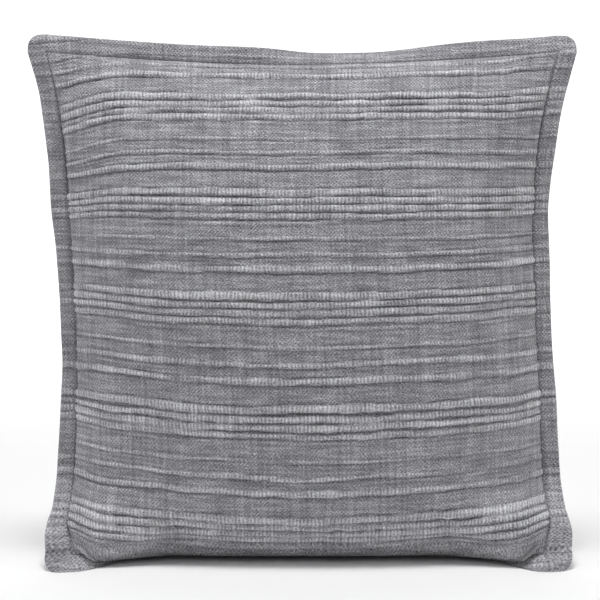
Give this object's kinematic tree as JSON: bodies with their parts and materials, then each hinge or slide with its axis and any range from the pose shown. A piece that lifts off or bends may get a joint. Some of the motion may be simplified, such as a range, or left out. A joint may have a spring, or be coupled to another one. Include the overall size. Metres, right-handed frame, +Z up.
{
  "type": "throw pillow",
  "caption": "Square throw pillow with a flat flange, a zipped slub-weave cover and a separate stuffed insert.",
  "frame": {"origin": "on the floor, below the middle of the pillow's box", "axes": "+Z up as the pillow stands on its lower edge, -Y out of the front face, +X to the right seen from the front"},
  "size_m": [0.452, 0.1444, 0.437],
  "materials": {
    "cover_cloth": "matte slub weave",
    "cover_thread": "matte thread",
    "zipper_tape": "woven tape",
    "zipper_nylon": "satin nylon",
    "zipper_metal": "satin nickel",
    "label": "satin",
    "ticking": "matte",
    "fibre_fill": "matte"
  },
  "bodies": {
    "cushion": {"front_panel": "cover_cloth", "back_panel_upper": "cover_cloth", "back_panel_lower": "cover_cloth", "flange_thread_front": "cover_thread", "flange_thread_back": "cover_thread", "zipper_stitch_upper": "cover_thread", "zipper_stitch_lower": "cover_thread", "zipper_tape_upper": "zipper_tape", "zipper_tape_lower": "zipper_tape", "zipper_coil_upper": "zipper_nylon", "zipper_coil_lower": "zipper_nylon", "zipper_top_stop_upper": "zipper_metal", "zipper_top_stop_lower": "zipper_metal", "zipper_bottom_stop": "zipper_metal", "care_label": "label", "insert_front_ticking": "ticking", "insert_back_ticking": "ticking", "insert_edge_thread": "ticking", "insert_closing_stitch": "ticking", "insert_fill": "fibre_fill"},
    "slider": {"zipper_slider": "zipper_metal"},
    "pull_tab": {"zipper_pull_tab": "zipper_metal"}
  },
  "joints": [
    {"name": "zipper_slide", "type": "slide", "parent": "cushion", "child": "slider", "axis": [1, 0, 0], "range_m": [0, 0.262]},
    {"name": "tab_swing", "type": "hinge", "parent": "slider", "child": "pull_tab", "pos_m": [-0.1312, 0.05226, 0.07459], "axis": [0, 0.2588, 0.9659], "range_deg": [0, 170]}
  ]
}
